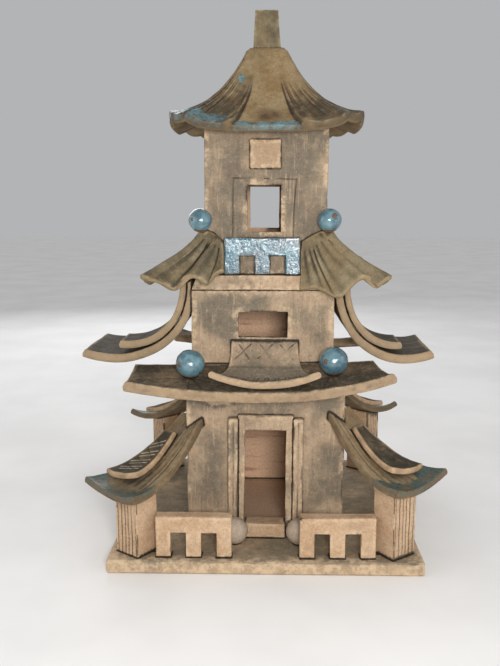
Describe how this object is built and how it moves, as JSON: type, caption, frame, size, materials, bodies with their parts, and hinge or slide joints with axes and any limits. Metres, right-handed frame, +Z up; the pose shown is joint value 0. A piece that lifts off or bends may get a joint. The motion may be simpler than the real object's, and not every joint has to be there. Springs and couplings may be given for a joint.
{
  "type": "hand-built stoneware pagoda ornament",
  "caption": "Slab-built stoneware pagoda ornament with stacked hollow storeys, curved roofs, corner wings, low fences, glazed balls and a square finial.",
  "frame": {"origin": "centre of the base slab's underside, on the surface it stands on", "axes": "+Z up, -Y the front with the door, +X to the right seen from the front"},
  "size_m": [0.3424, 0.3086, 0.497],
  "materials": {
    "bare_clay": "unglazed, smooth, pale worn edges",
    "stained_clay": "unglazed with smoky oxide stain",
    "roof_clay": "unglazed, olive-brown wash, scored and fluted",
    "wing_clay": "olive-brown wash, green-blue glaze at the tips",
    "combed_roof_clay": "deeply combed, blue glaze on the rims",
    "grey_clay": "unglazed grey clay",
    "blue_glaze": "glossy blue glaze, thin at the edges"
  },
  "bodies": {
    "root": {"base_slab": "bare_clay", "door_sill": "bare_clay", "front_rail_left": "bare_clay", "front_rail_right": "bare_clay", "corner_post_front_left": "bare_clay", "corner_post_front_right": "bare_clay", "corner_post_rear_left": "bare_clay", "corner_post_rear_right": "bare_clay", "square_tile": "bare_clay", "ground_front_wall": "stained_clay", "ground_back_wall": "stained_clay", "ground_left_wall": "stained_clay", "ground_right_wall": "stained_clay", "door_frame": "stained_clay", "door_jamb_left": "stained_clay", "door_jamb_right": "stained_clay", "middle_floor_slab": "stained_clay", "middle_front_wall": "stained_clay", "middle_back_wall": "stained_clay", "middle_left_wall": "stained_clay", "middle_right_wall": "stained_clay", "awning": "stained_clay", "top_floor_slab": "stained_clay", "top_front_wall": "stained_clay", "top_back_wall": "stained_clay", "top_left_wall": "stained_clay", "top_right_wall": "stained_clay", "finial": "stained_clay", "skirt_roof_front": "roof_clay", "skirt_roof_back": "roof_clay", "side_roof_lower_left": "roof_clay", "side_roof_lower_right": "roof_clay", "side_roof_upper_left": "roof_clay", "side_roof_upper_right": "roof_clay", "upper_wing_left": "roof_clay", "upper_wing_right": "roof_clay", "lower_wing_front_left": "wing_clay", "lower_wing_front_right": "wing_clay", "lower_wing_rear_left": "wing_clay", "lower_wing_rear_right": "wing_clay", "wing_strip_front_left": "wing_clay", "wing_strip_front_right": "wing_clay", "wing_strip_rear_left": "wing_clay", "wing_strip_rear_right": "wing_clay", "roof": "combed_roof_clay", "door_ball_left": "grey_clay", "door_ball_right": "grey_clay", "middle_ball_left": "blue_glaze", "middle_ball_right": "blue_glaze", "upper_ball_left": "blue_glaze", "upper_ball_right": "blue_glaze", "glazed_rail": "blue_glaze"}
  },
  "joints": []
}
